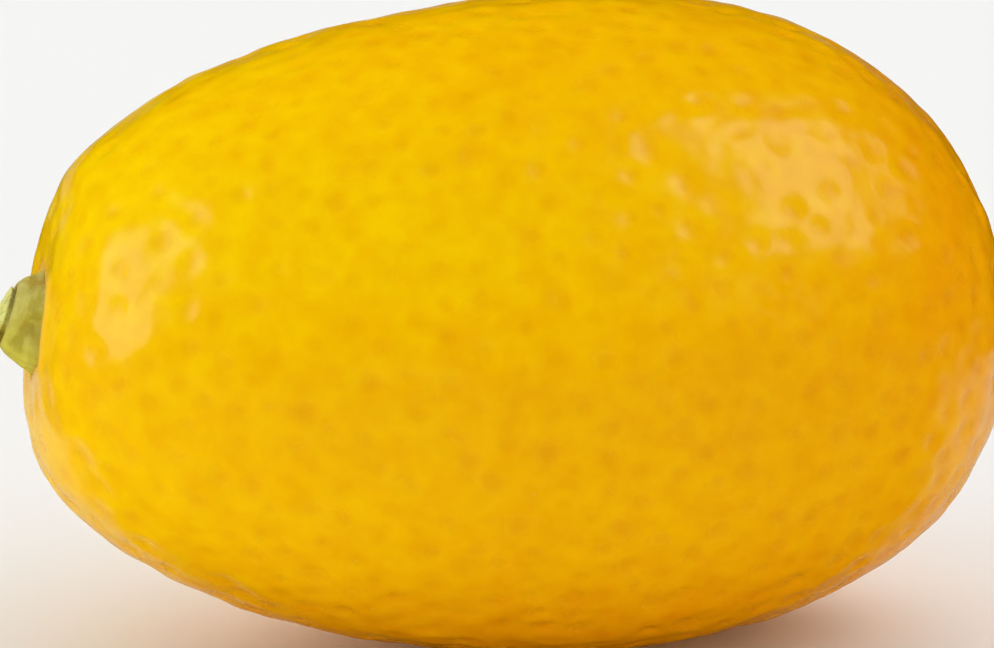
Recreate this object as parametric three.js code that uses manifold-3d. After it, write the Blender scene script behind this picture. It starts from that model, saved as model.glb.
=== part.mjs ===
// A kumquat as picked, lying on its side: the fruit, the green calyx that grips its stem end, and the
// snapped end of its stalk. Millimetres, +Z up. The fruit's long axis runs along X with the stem end
// at -X, and the origin is on the surface that it rests on, under the middle of the whole.
//
// Every piece is first made round a straight X axis, with the fruit's middle at the origin, and then
// bent along the fruit's own curved axis, so that pieces that touch stay in touch.
import * as THREE from "three";
import { mergeVertices } from "three/addons/utils/BufferGeometryUtils.js";
import Module from "manifold-3d";

const wasm = await Module();
wasm.setup();

// The fruit.
const FRUIT_LENGTH = 38;
const FRUIT_RADIUS = 12.79;
const HALF_LENGTH = FRUIT_LENGTH / 2;
const WIDEST_SHIFT = 0.117; // how far past the middle the widest girth sits, as a share of half the length
const STEM_FULLNESS = 2.94; // an end's bluntness: 2 is an ellipse's end, and more is flatter
const BLOSSOM_FULLNESS = 2.3;
const STEM_BASIN = { depth: 0.66, radius: 2.85 }; // the shallow seat under the calyx
const BLOSSOM_DIMPLE = { depth: 0.35, radius: 1.5 }; // the hollow round the style's scar
const STYLE_SCAR = { height: 0.22, radius: 0.55 }; // the nub that the style left in that hollow

// The fruit's axis: a gentle bow with both ends raised, the stem end a little more than the blossom end.
const AXIS_LEAN = -0.16;
const AXIS_BOW = 0.32;
const AXIS_HOOK = 0.41;

// Swellings and hollows (negative) of the fruit's sides, as such fruit grows: two shoulders beside the
// calyx, and broad ones along the sides. Along is the place between the ends, -1 to 1, round is the angle
// from +Y towards +Z in degrees, both spreads likewise, and height is for a side at full girth.
const SIDE_SWELLINGS = [
  { height: 1.3, along: -0.965, round: 90, alongSpread: 0.08, roundSpread: 45 },
  { height: 0.65, along: -0.985, round: -90, alongSpread: 0.06, roundSpread: 45 },
  { height: 0.27, along: -0.72, round: 90, alongSpread: 0.16, roundSpread: 38 },
  { height: 0.12, along: -0.2, round: 20, alongSpread: 0.45, roundSpread: 30 },
  { height: -0.14, along: 0.25, round: 150, alongSpread: 0.4, roundSpread: 35 },
];

// How deep the resting spot is pressed into the underside.
const REST_DEPTH = 0.2;

// The calyx, a button that flares from a narrow collar to short pointed lobes. Heights are measured out
// from the fruit's skin.
const LOBES = 5;
const FIRST_LOBE = 66; // where one lobe points, in degrees from +Y towards +Z
const LOBE_TIP_RADIUS = 2.3;
const LOBE_NOTCH = 0.8; // how far the rim draws in between two lobes
const LOBE_EDGE = 0.12; // the rim's thickness
const FLARE_WAIST = { radius: 1.87, height: 0.68 }; // what the flare bends towards between rim and collar
const COLLAR_RADIUS = 1.32;
const COLLAR_HEIGHT = 1.38;
const COLLAR_LIP = 0.14;
const SOCKET_DEPTH = 0.45;

// The button that calyx and stalk make up sits a little above the fruit's axis, with its basin, and is
// not quite upright on the skin.
const BUTTON_RISE = 0.38;
const BUTTON_LEAN = 0.07; // this far down for each millimetre out

// The stalk's snapped end, which stands in the calyx's collar.
const STALK_RADIUS = 1.1;
const STALK_SHOULDER_RADIUS = 1.02; // halfway between the collar and the broken face
const STALK_TIP_RADIUS = 0.74;
const STALK_HEIGHT = 1.95;
const STALK_SLANT = 0.25; // the broken face is cut back by this much for each millimetre up
const STALK_HOLLOW = 0.1; // and dips in its middle

const GAP = 0.06; // between pieces that touch

// How finely each piece is faceted.
const FRUIT_RINGS = 40;
const FRUIT_AROUND = 56;
const CALYX_AROUND = 8 * LOBES;
const STALK_AROUND = 24;

const radians = THREE.MathUtils.degToRad;

// The axis's height and slope at a place along the fruit.
function axisAt(x) {
  const t = x / HALF_LENGTH;
  return {
    rise: AXIS_LEAN * t + AXIS_BOW * t ** 2 + AXIS_HOOK * t ** 4,
    slope: (AXIS_LEAN + 2 * AXIS_BOW * t + 4 * AXIS_HOOK * t ** 3) / HALF_LENGTH,
  };
}

// The fruit's plain outline. The turn runs from 0 at the stem end to PI at the blossom end, and the
// radius is its sine, so that the ends are as finely divided as the sides.
function outlineAt(turn) {
  const side = -Math.cos(turn);
  const share = Math.max(0, Math.sin(turn));
  const middle = (STEM_FULLNESS + BLOSSOM_FULLNESS) / 2;
  const fullness = middle + (side * (BLOSSOM_FULLNESS - STEM_FULLNESS)) / 2;
  const even = Math.sign(side) * Math.sqrt(Math.max(0, 1 - share ** fullness));
  // A parabola carries the widest girth from the middle to its own place, and leaves both ends.
  const k = WIDEST_SHIFT;
  const along = (Math.sqrt(1 + 4 * k * (k + even)) - 1) / (2 * k);
  return { x: HALF_LENGTH * along, radius: FRUIT_RADIUS * share };
}

// A rounded bump, 1 in its middle, that has died away at about twice its spread.
const bump = (distance, spread) => Math.exp(-((distance / spread) ** 2));

// How far the stem end's basin presses the skin in along the axis.
function basinAt(y, z) {
  return STEM_BASIN.depth * bump(Math.hypot(y, z - BUTTON_RISE), STEM_BASIN.radius);
}

// The skin's place along the axis near the stem end.
function stemSkinAt(y, z) {
  return outlineAt(Math.asin(Math.hypot(y, z) / FRUIT_RADIUS)).x + basinAt(y, z);
}

// How far the dimple and the style's scar move the skin out along the axis at the blossom end.
function blossomReliefAt(radius) {
  const nub = STYLE_SCAR.height * bump(radius, STYLE_SCAR.radius);
  return nub - BLOSSOM_DIMPLE.depth * bump(radius, BLOSSOM_DIMPLE.radius);
}

// How much the fruit's side swells at a point of its straight form.
function swellingAt(x, y, z) {
  const round = THREE.MathUtils.radToDeg(Math.atan2(z, y));
  return SIDE_SWELLINGS.reduce((sum, s) => {
    const turned = THREE.MathUtils.euclideanModulo(round - s.round + 180, 360) - 180;
    const along = x / HALF_LENGTH - s.along;
    return sum + s.height * bump(along, s.alongSpread) * bump(turned, s.roundSpread);
  }, 0);
}

// Keeps only a geometry's places, each once, so that it is one closed skin.
function joined(geometry) {
  geometry.deleteAttribute("normal");
  geometry.deleteAttribute("uv");
  return mergeVertices(geometry, 1e-4);
}

// Spins a profile of [radius, height] points into a closed form round the X axis, with its heights
// towards +X where outward is 1 and towards -X where it is -1.
function spun(profile, outward, around) {
  const points = profile.map(([radius, height]) => new THREE.Vector2(radius, outward * height));
  return joined(new THREE.LatheGeometry(points, around).rotateZ(-Math.PI / 2));
}

// Moves every vertex to where the given function sends it.
function reshaped(geometry, move) {
  const position = geometry.getAttribute("position");
  for (let i = 0; i < position.count; i++)
    position.setXYZ(i, ...move(position.getX(i), position.getY(i), position.getZ(i)));
  return geometry;
}

// Bends a piece along the fruit's axis, keeping its sections square to the axis.
function bent(geometry) {
  return reshaped(geometry, (x, y, z) => {
    const { rise, slope } = axisAt(x);
    const lean = Math.atan(slope);
    return [x - z * Math.sin(lean), y, rise + z * Math.cos(lean)];
  });
}

function toSolid(geometry) {
  return new wasm.Manifold(
    new wasm.Mesh({
      numProp: 3,
      vertProperties: new Float32Array(geometry.getAttribute("position").array),
      triVerts: new Uint32Array(geometry.index.array),
    }),
  );
}

function toGeometry(solid) {
  const { vertProperties, triVerts } = solid.getMesh();
  return new THREE.BufferGeometry()
    .setAttribute("position", new THREE.BufferAttribute(vertProperties, 3))
    .setIndex(new THREE.BufferAttribute(triVerts, 1));
}

// The whole fruit, peel and flesh in one, with the style's scar at its blossom end.
function makeFruit() {
  const profile = [];
  for (let ring = 0; ring <= FRUIT_RINGS; ring++) {
    // Rings crowd a little towards the ends, where the small forms are.
    const share = ring / FRUIT_RINGS;
    const turn = Math.PI * share - 0.25 * Math.sin(2 * Math.PI * share);
    const { x, radius } = outlineAt(turn);
    profile.push([radius, x < 0 ? x : x + blossomReliefAt(radius)]);
  }
  const swollen = reshaped(spun(profile, 1, FRUIT_AROUND), (x, y, z) => {
    const grown = 1 + swellingAt(x, y, z) / FRUIT_RADIUS;
    return [x < 0 ? x + basinAt(y, z) : x, y * grown, z * grown];
  });
  return bent(swollen);
}

// Presses the flat resting spot into the fruit's underside, at the given height.
function flattened(fruit, height) {
  const below = new THREE.BoxGeometry(FRUIT_LENGTH, FRUIT_LENGTH, FRUIT_LENGTH);
  below.translate(0, 0, height - FRUIT_LENGTH / 2);
  return toGeometry(toSolid(fruit).subtract(toSolid(joined(below))));
}

// The rim's radius, as a share of a lobe's tip: lobes are pointed, and the notches between are round.
function lobeShare(y, z) {
  const fromTip = Math.abs(Math.sin((LOBES / 2) * (Math.atan2(z, y) - radians(FIRST_LOBE))));
  return 1 - (LOBE_NOTCH / LOBE_TIP_RADIUS) * fromTip ** 1.3;
}

// Seats a piece of the button on the fruit's skin, and leans it. Heights stand out from the skin towards
// -X, and the rim share says how far the piece draws in at a point of its rim.
function seated(geometry, rimShareAt) {
  return reshaped(geometry, (x, y, z) => {
    const share = rimShareAt(y, z);
    const across = y * share;
    const up = z * share;
    const skin = stemSkinAt(across, up + BUTTON_RISE) - GAP;
    return [x + skin, across, up + BUTTON_RISE + BUTTON_LEAN * x];
  });
}

// The calyx: its underside lies on the fruit's skin, its top flares in to a collar, and the collar's
// blind socket holds the stalk.
function makeCalyx() {
  const socketFloor = COLLAR_HEIGHT - SOCKET_DEPTH;
  const socketRadius = STALK_RADIUS + GAP;
  const flare = new THREE.QuadraticBezierCurve(
    new THREE.Vector2(COLLAR_RADIUS, COLLAR_HEIGHT - COLLAR_LIP / 2),
    new THREE.Vector2(FLARE_WAIST.radius, FLARE_WAIST.height),
    new THREE.Vector2(LOBE_TIP_RADIUS, LOBE_EDGE),
  );
  const profile = [
    [0, socketFloor],
    [socketRadius, socketFloor],
    [socketRadius, COLLAR_HEIGHT - COLLAR_LIP / 2],
    [(socketRadius + COLLAR_RADIUS) / 2, COLLAR_HEIGHT],
    ...flare.getPoints(8).map((p) => [p.x, p.y]),
    ...[1, 0.8, 0.55, 0.25, 0].map((share) => [share * LOBE_TIP_RADIUS, 0]),
  ];
  const round = spun(profile, -1, CALYX_AROUND);
  const lobed = seated(round, (y, z) => {
    const outer = THREE.MathUtils.smoothstep(Math.hypot(y, z), COLLAR_RADIUS, LOBE_TIP_RADIUS);
    return 1 + outer * (lobeShare(y, z) - 1);
  });
  return bent(lobed);
}

// The stalk's end: a short stub that narrows to a slanting broken face.
function makeStalk() {
  const foot = COLLAR_HEIGHT - SOCKET_DEPTH + GAP;
  const profile = [
    [0, STALK_HEIGHT - STALK_HOLLOW],
    [0.55 * STALK_TIP_RADIUS, STALK_HEIGHT - STALK_HOLLOW / 2],
    [STALK_TIP_RADIUS, STALK_HEIGHT],
    [STALK_SHOULDER_RADIUS, (COLLAR_HEIGHT + STALK_HEIGHT) / 2],
    [STALK_RADIUS, COLLAR_HEIGHT],
    [STALK_RADIUS, foot],
    [0, foot],
  ];
  const slanted = reshaped(spun(profile, -1, STALK_AROUND), (x, y, z) => {
    const raised = THREE.MathUtils.smoothstep(-x, COLLAR_HEIGHT, STALK_HEIGHT);
    return [x + raised * STALK_SLANT * z, y, z];
  });
  return bent(seated(slanted, () => 1));
}

// A named piece in its own colour and finish.
function piece(name, geometry, color, roughness) {
  const material = new THREE.MeshStandardMaterial({ color, roughness, metalness: 0 });
  const mesh = new THREE.Mesh(geometry, material);
  mesh.name = name;
  return mesh;
}

const wholeFruit = makeFruit();
wholeFruit.computeBoundingBox();
const restHeight = wholeFruit.boundingBox.min.z + REST_DEPTH;

const kumquat = new THREE.Group();
kumquat.add(
  piece("fruit", flattened(wholeFruit, restHeight), 0xf2ae02, 0.35),
  piece("calyx", makeCalyx(), 0xaeab48, 0.6),
  piece("stalk", makeStalk(), 0xd9d08c, 0.8),
);

// Stand the whole on its resting spot, with the origin under its middle.
const middle = new THREE.Box3().setFromObject(kumquat).getCenter(new THREE.Vector3());
kumquat.position.set(-middle.x, -middle.y, -restHeight);

export default kumquat;
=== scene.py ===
"""A kumquat as picked, lying on its side, in a plain pale studio.

The fruit, the green calyx and the snapped end of the stalk take their form from the driving dimensions in
FruitForm and ButtonForm. These follow the solid model, apart from a few small ones that only this scene
has: the basin's fill, the calyx's thinner rim, shallower notches, short lobe and slanting collar, the
socket's wall and the slant of the stalk's broken face. Lengths are in metres, +Z is up, and the fruit's long
axis runs along X with its stem end at -X.
"""

import functools
import itertools
import logging
import math
import random
from dataclasses import dataclass, field
from enum import Enum

import bpy
import numpy as np
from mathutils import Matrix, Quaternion, Vector, noise
from mathutils.kdtree import KDTree


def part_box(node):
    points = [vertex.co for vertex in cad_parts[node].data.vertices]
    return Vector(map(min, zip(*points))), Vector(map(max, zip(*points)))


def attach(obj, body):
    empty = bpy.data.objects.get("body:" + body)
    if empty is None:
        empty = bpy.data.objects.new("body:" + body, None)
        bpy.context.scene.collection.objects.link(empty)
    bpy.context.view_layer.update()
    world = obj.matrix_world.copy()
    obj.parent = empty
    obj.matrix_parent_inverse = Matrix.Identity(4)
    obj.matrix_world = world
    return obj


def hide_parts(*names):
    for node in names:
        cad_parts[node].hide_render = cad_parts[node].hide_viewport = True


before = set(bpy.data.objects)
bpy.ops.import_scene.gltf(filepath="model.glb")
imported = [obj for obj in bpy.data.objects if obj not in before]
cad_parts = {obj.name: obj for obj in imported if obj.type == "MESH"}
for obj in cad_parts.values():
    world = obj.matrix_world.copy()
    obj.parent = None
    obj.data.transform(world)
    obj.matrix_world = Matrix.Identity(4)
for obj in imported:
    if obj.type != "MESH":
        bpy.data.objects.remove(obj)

LOG = logging.getLogger("kumquat")
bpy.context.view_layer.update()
MM = 0.001
ON_AXIS = 0.001 * MM  # nearer to an axis than this, an angle round it is only rounding

Points = np.ndarray
Values = np.ndarray
Color = tuple[float, float, float, float]
Span = tuple[float, float]
Profile = list[tuple[float, float]]
Piece = bpy.types.Object
Socket = bpy.types.NodeSocket


class Slot(Enum):
    """The record's material slots."""

    PEEL = "peel"
    CALYX = "calyx_green"
    STALK = "stalk_wood"


# ---------------------------------------------------------------------------------------------------
# The form that every piece shares


def bump(distance: Values, spread: float) -> Values:
    """A rounded bump, 1 in its middle, that has died away at about twice its spread."""
    return np.exp(-((distance / spread) ** 2))


def smooth_step(low: float, high: float, values: Values) -> Values:
    """A smooth rise from 0 at low to 1 at high."""
    share = np.clip((values - low) / (high - low), 0, 1)
    return share * share * (3 - 2 * share)


def turned_from(degrees: Values, middle: float) -> Values:
    """How far angles lie from a middle one, from -180 to 180 degrees."""
    return (degrees - middle + 180) % 360 - 180


@dataclass(frozen=True)
class Swelling:
    """A broad swelling of the fruit's side, or a hollow where its height is negative.

    Along is the place between the ends, from -1 to 1, and round is the angle from +Y towards +Z in
    degrees. Both spreads are measured likewise, and the height is for a side at full girth.
    """

    height: float
    along: float
    round: float
    along_spread: float
    round_spread: float

    def at(self, along: Values, degrees: Values) -> Values:
        """How much this swelling adds at places given as along and round."""
        ridge = self.height * bump(along - self.along, self.along_spread)
        return ridge * bump(turned_from(degrees, self.round), self.round_spread)


@dataclass(frozen=True)
class FruitForm:
    """The fruit's smooth form, first made round a straight X axis and then bent along a curved one."""

    length: float = 38 * MM
    radius: float = 12.79 * MM
    widest_shift: float = 0.117
    stem_fullness: float = 2.94
    blossom_fullness: float = 2.3
    basin_depth: float = 0.66 * MM
    basin_radius: float = 2.85 * MM
    basin_fill: float = 0.7
    fill_starts: float = 0.8 * MM
    fill_whole: float = -2.2 * MM
    button_rise: float = 0.38 * MM
    dimple_depth: float = 0.35 * MM
    dimple_radius: float = 1.5 * MM
    scar_height: float = 0.22 * MM
    scar_radius: float = 0.55 * MM
    axis_lean: float = -0.16 * MM
    axis_bow: float = 0.32 * MM
    axis_hook: float = 0.41 * MM
    rest_depth: float = 0.2 * MM
    swellings: tuple[Swelling, ...] = (
        Swelling(1.3 * MM, -0.965, 90, 0.08, 45),
        Swelling(0.65 * MM, -0.985, -90, 0.06, 45),
        Swelling(0.27 * MM, -0.72, 90, 0.16, 38),
        Swelling(0.12 * MM, -0.2, 20, 0.45, 30),
        Swelling(-0.14 * MM, 0.25, 150, 0.4, 35),
    )

    @property
    def half(self) -> float:
        """Half the fruit's length."""
        return self.length / 2

    def outline_at(self, turn: Values) -> tuple[Values, Values]:
        """The plain outline.

        Args:
            turn: angles from 0 at the stem end to pi at the blossom end.

        Returns:
            The places along the axis and the radii there.
        """
        side = -np.cos(turn)
        share = np.clip(np.sin(turn), 0, 1)
        middle = (self.stem_fullness + self.blossom_fullness) / 2
        fullness = middle + side * (self.blossom_fullness - self.stem_fullness) / 2
        even = np.sign(side) * np.sqrt(np.clip(1 - share**fullness, 0, 1))
        k = self.widest_shift
        along = (np.sqrt(1 + 4 * k * (k + even)) - 1) / (2 * k)
        return self.half * along, self.radius * share

    def basin_at(self, y: Values, z: Values) -> Values:
        """How far the basin presses the stem end in along the axis, less towards -Y, where it fills."""
        left = 1 - self.basin_fill * (1 - smooth_step(self.fill_whole, self.fill_starts, y))
        return self.basin_depth * left * bump(np.hypot(y, z - self.button_rise), self.basin_radius)

    def stem_skin_at(self, y: Values, z: Values) -> Values:
        """The skin's place along the axis near the stem end."""
        place, _ = self.outline_at(np.arcsin(np.hypot(y, z) / self.radius))
        return place + self.basin_at(y, z)

    def swelling_at(self, points: Points) -> Values:
        """Adds up the swellings.

        Args:
            points: points of the straight form.

        Returns:
            How much the side swells there.
        """
        degrees = np.degrees(np.arctan2(points[:, 2], points[:, 1]))
        along = points[:, 0] / self.half
        return sum(swelling.at(along, degrees) for swelling in self.swellings)

    def bent(self, points: Points) -> Points:
        """Bends straight points along the fruit's axis, with its sections kept square to it.

        Args:
            points: points of the straight form.

        Returns:
            The bent points.
        """
        t = points[:, 0] / self.half
        rise = self.axis_lean * t + self.axis_bow * t**2 + self.axis_hook * t**4
        slope = (self.axis_lean + 2 * self.axis_bow * t + 4 * self.axis_hook * t**3) / self.half
        lean = np.arctan(slope)
        x = points[:, 0] - points[:, 2] * np.sin(lean)
        return np.stack([x, points[:, 1], rise + points[:, 2] * np.cos(lean)], axis=1)

    def skin(self, directions: Points, crowding: float = 0.0) -> Points:
        """Carries the points of a unit sphere to the fruit's skin, its resting spot not yet pressed.

        Args:
            directions: points of a unit sphere whose -X pole is the stem end.
            crowding: how strongly points are drawn from the ends towards the girth.

        Returns:
            The skin's points, with the fruit's middle at the origin.
        """
        turn = np.arccos(np.clip(-directions[:, 0], -1, 1))
        turn = turn + crowding * np.sin(2 * turn)
        place, radius = self.outline_at(turn)
        nub = self.scar_height * bump(radius, self.scar_radius)
        dimple = self.dimple_depth * bump(radius, self.dimple_radius)
        place = place + np.where(place < 0, 0, nub - dimple)
        across = np.hypot(directions[:, 1], directions[:, 2])
        scale = radius / np.maximum(across, 1e-9)
        straight = np.stack([place, directions[:, 1] * scale, directions[:, 2] * scale], axis=1)
        grown = 1 + self.swelling_at(straight) / self.radius
        straight[:, 0] += np.where(place < 0, self.basin_at(straight[:, 1], straight[:, 2]), 0)
        straight[:, 1:] *= grown[:, None]
        return self.bent(straight)

    def place_in(self, box: tuple[Vector, Vector]) -> Vector:
        """Places the form.

        Args:
            box: the lower and upper corners of the box that the form fills, resting on its bottom.

        Returns:
            How far the form moves from its own origin.
        """
        steps = 360
        turn, around = np.meshgrid(np.linspace(0, np.pi, steps + 1), np.linspace(0, 2 * np.pi, steps))
        turn, around = turn.ravel(), around.ravel()
        across = np.sin(turn)
        skin = self.skin(np.stack([-np.cos(turn), across * np.cos(around), across * np.sin(around)], 1))
        low, high = skin.min(0), skin.max(0)
        x, y, _ = (box[0] + box[1]) / 2
        rise = box[0].z - (low[2] + self.rest_depth)
        return Vector((x - (low[0] + high[0]) / 2, y - (low[1] + high[1]) / 2, rise))


# ---------------------------------------------------------------------------------------------------
# Mesh helpers


def read_points(piece: Piece) -> Points:
    """Reads a mesh's vertices.

    Args:
        piece: the piece to read.

    Returns:
        Its points, in rows of three numbers.
    """
    flat = np.empty(len(piece.data.vertices) * 3)
    piece.data.vertices.foreach_get("co", flat)
    return flat.reshape(-1, 3)


def read_normals(piece: Piece) -> Points:
    """Reads which way is out at each of a mesh's vertices.

    Args:
        piece: the piece to read.

    Returns:
        Unit directions, in rows of three numbers.
    """
    flat = np.empty(len(piece.data.vertices) * 3, np.float32)
    piece.data.vertex_normals.foreach_get("vector", flat)
    return flat.reshape(-1, 3).astype(float)


def write_points(piece: Piece, points: Points) -> None:
    """Moves the piece's vertices to the given points."""
    piece.data.vertices.foreach_set("co", points.astype(np.float32).ravel())
    piece.data.update()


def grow(piece: Piece, heights: Values) -> None:
    """Moves each of the piece's vertices straight out by its own height."""
    write_points(piece, read_points(piece) + read_normals(piece) * heights[:, None])


def write_attribute(piece: Piece, name: str, values: Values) -> None:
    """Stores one number at each of the piece's vertices, for its material to read."""
    attribute = piece.data.attributes.new(name, "FLOAT", "POINT")
    attribute.data.foreach_set("value", values.astype(np.float32))


def apply_modifiers(piece: Piece) -> None:
    """Applies modifiers in their order.

    Args:
        piece: the piece that has them.
    """
    bpy.context.view_layer.objects.active = piece
    for modifier in list(piece.modifiers):
        bpy.ops.object.modifier_apply(modifier=modifier.name)


def subdivide(piece: Piece, levels: int) -> None:
    """Smooths and refines a piece by subdivision, applied.

    Args:
        piece: the piece to refine.
        levels: how many times each edge is halved.
    """
    modifier = piece.modifiers.new("subdivision", "SUBSURF")
    modifier.levels = levels
    modifier.render_levels = levels
    apply_modifiers(piece)


def cloud(points: Points, size: float, seed: float, octaves: int = 2) -> Values:
    """Soft random heights from -1 to 1, about one lump to each size."""
    shift = Vector((seed * 17.3, seed * 5.9, seed * 31.7))
    return np.array([noise.fractal(Vector(p) / size + shift, 1.0, 2.0, octaves) for p in points])


def polar(points: Points) -> tuple[Values, Values]:
    """The radii of straight points round the X axis, and their angles from +Y towards +Z, 0 on the axis."""
    radius = np.hypot(points[:, 1], points[:, 2])
    return radius, np.where(radius < ON_AXIS, 0.0, np.arctan2(points[:, 2], points[:, 1]))


def settle(piece: Piece, name: str, material: bpy.types.Material) -> None:
    """Names and dresses a finished piece, and puts it on its body.

    Args:
        piece: the finished piece.
        name: its name.
        material: what it is dressed in.
    """
    piece.name = name
    piece.data.name = name
    bpy.ops.object.select_all(action="DESELECT")
    piece.select_set(True)
    bpy.context.view_layer.objects.active = piece
    bpy.ops.object.shade_smooth()
    piece.data.materials.clear()
    piece.data.materials.append(material)
    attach(piece, "root")


def report(piece: Piece) -> None:
    """Logs a piece's size and how many faces it has."""
    size = piece.dimensions / MM
    LOG.info("%s: %.1f x %.1f x %.1f mm, %d faces", piece.name, *size, len(piece.data.polygons))


# ---------------------------------------------------------------------------------------------------
# Node helpers and the effects that materials share


class NodeSheet:
    """A node tree with short calls for adding nodes and linking them."""

    def __init__(self, tree: bpy.types.NodeTree) -> None:
        """Takes the tree to draw on."""
        self.tree = tree

    def add(self, kind: str, **settings: object) -> bpy.types.Node:
        """Adds a node.

        Args:
            kind: the node's Blender type.
            settings: its properties by name, and its inputs' plain values as in_NAME, or links as
                from_NAME, with spaces written as underscores.

        Returns:
            The node.
        """
        node = self.tree.nodes.new(kind)
        for name, value in settings.items():
            if name.startswith("in_"):
                self._input(node, name[3:]).default_value = value
            elif name.startswith("from_"):
                self.tree.links.new(value, self._input(node, name[5:]))
            else:
                setattr(node, name, value)
        return node

    @staticmethod
    def _input(node: bpy.types.Node, name: str) -> Socket:
        """The node's input of that name, or of that number where the name is a number."""
        key = int(name) if name.isdigit() else name.replace("_", " ")
        return node.inputs[key]

    def math(self, operation: str, a: object, b: object = 0.0) -> Socket:
        """Works with two numbers.

        Args:
            operation: the Math node's operation.
            a: the first socket or plain number.
            b: the second.

        Returns:
            The result's socket.
        """
        node = self.add("ShaderNodeMath", operation=operation)
        for index, value in enumerate((a, b)):
            if isinstance(value, (int, float)):
                node.inputs[index].default_value = value
            else:
                self.tree.links.new(value, node.inputs[index])
        return node.outputs[0]

    def times(self, a: object, b: object) -> Socket:
        """The product of two sockets or numbers."""
        return self.math("MULTIPLY", a, b)

    def total(self, *terms: object) -> Socket:
        """The sum of sockets and numbers."""
        return functools.reduce(lambda a, b: self.math("ADD", a, b), terms)

    def ranged(
        self, value: Socket, low: float, high: float, to_low: float = 0.0, to_high: float = 1.0
    ) -> Socket:
        """Carries a value from one range to another by a smooth step.

        Args:
            value: the value's socket.
            low: the value that becomes to_low.
            high: the value that becomes to_high.
            to_low: the new range's start.
            to_high: the new range's end.

        Returns:
            The new value's socket.
        """
        node = self.add("ShaderNodeMapRange", interpolation_type="SMOOTHSTEP", from_Value=value)
        for name, number in zip(("From Min", "From Max", "To Min", "To Max"), (low, high, to_low, to_high)):
            node.inputs[name].default_value = number
        return node.outputs["Result"]

    def blend(self, share: object, a: object, b: object, mode: str = "MIX") -> Socket:
        """Blends two colours, each a socket or a plain value.

        Args:
            share: how much of the second colour there is.
            a: the first colour.
            b: the second colour, or the one that the mode works with.
            mode: how they blend.

        Returns:
            The colour's socket.
        """
        node = self.add("ShaderNodeMix", data_type="RGBA", blend_type=mode)
        for index, value in ((0, share), (6, a), (7, b)):
            if isinstance(value, Socket):
                self.tree.links.new(value, node.inputs[index])
            else:
                node.inputs[index].default_value = value
        return node.outputs[2]

    def ramp(self, value: Socket, stops: tuple[tuple[float, Color], ...]) -> Socket:
        """Reads colours off a ramp.

        Args:
            value: the place on the ramp, from 0 to 1.
            stops: each stop's place and colour.

        Returns:
            The colour's socket.
        """
        node = self.add("ShaderNodeValToRGB", from_Fac=value)
        elements = node.color_ramp.elements
        while len(elements) < len(stops):
            elements.new(0.5)
        for element, (place, color) in zip(elements, stops):
            element.position = place
            element.color = color
        return node.outputs["Color"]

    def attribute(self, name: str) -> Socket:
        """One of the piece's own attributes."""
        return self.add("ShaderNodeAttribute", attribute_name=name).outputs["Fac"]

    def grained(self, height: Socket, strength: float, depth: float) -> Socket:
        """The normals of a surface with a fine grain of the given heights, strength and depth."""
        node = self.add("ShaderNodeBump", in_Strength=strength, in_Distance=depth, from_Height=height)
        return node.outputs["Normal"]

    def dress(self, shader: bpy.types.Node, **looks: Socket) -> None:
        """Links sockets to the shader's inputs, named with spaces written as underscores."""
        for name, socket in looks.items():
            self.tree.links.new(socket, self._input(shader, name))


def new_group(name: str, inputs: dict[str, float], outputs: list[str]) -> tuple[NodeSheet, object, object]:
    """Starts a shader node group with number inputs and outputs, after a Vector input.

    Args:
        name: the group's name.
        inputs: each number input's name and usual value.
        outputs: the outputs' names.

    Returns:
        The sheet to draw on, and the group's input and output nodes.
    """
    tree = bpy.data.node_groups.new(name, "ShaderNodeTree")
    tree.interface.new_socket("Vector", in_out="INPUT", socket_type="NodeSocketVector")
    for title, value in inputs.items():
        socket = tree.interface.new_socket(title, in_out="INPUT", socket_type="NodeSocketFloat")
        socket.default_value = value
    for title in outputs:
        tree.interface.new_socket(title, in_out="OUTPUT", socket_type="NodeSocketFloat")
    sheet = NodeSheet(tree)
    return sheet, sheet.add("NodeGroupInput"), sheet.add("NodeGroupOutput")


def make_mottle() -> bpy.types.NodeTree:
    """Makes the group for soft uneven patches, as grown surfaces have.

    Returns:
        The group, which puts out a mask from 0 to 1.
    """
    inputs = {"Patch Size": 1.0 * MM, "Contrast": 1.0, "Detail": 3.0}
    sheet, start, end = new_group("mottle", inputs, ["Mask"])
    scale = sheet.math("DIVIDE", 1.0, start.outputs["Patch Size"])
    clouds = sheet.add(
        "ShaderNodeTexNoise",
        from_Vector=start.outputs["Vector"],
        from_Scale=scale,
        from_Detail=start.outputs["Detail"],
    )
    centred = sheet.math("SUBTRACT", clouds.outputs["Fac"], 0.5)
    spread = sheet.times(centred, sheet.times(start.outputs["Contrast"], 2.0))
    mask = sheet.add("ShaderNodeClamp", from_Value=sheet.total(spread, 0.5))
    sheet.tree.links.new(mask.outputs[0], end.inputs["Mask"])
    return sheet.tree


class Effects:
    """The node groups that the finishes share."""

    def __init__(self) -> None:
        """Makes each group once."""
        self.mottle = make_mottle()

    def mottled(
        self, sheet: NodeSheet, vector: Socket, size: float, contrast: float, detail: float = 3.0
    ) -> Socket:
        """Places the mottle group in a material.

        Args:
            sheet: the material's sheet.
            vector: the coordinates.
            size: how large the patches are.
            contrast: how strongly they stand out.
            detail: how much finer detail they have.

        Returns:
            The mask's socket.
        """
        node = sheet.add("ShaderNodeGroup", node_tree=self.mottle, from_Vector=vector)
        node.inputs["Patch Size"].default_value = size
        node.inputs["Contrast"].default_value = contrast
        node.inputs["Detail"].default_value = detail
        return node.outputs["Mask"]


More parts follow.
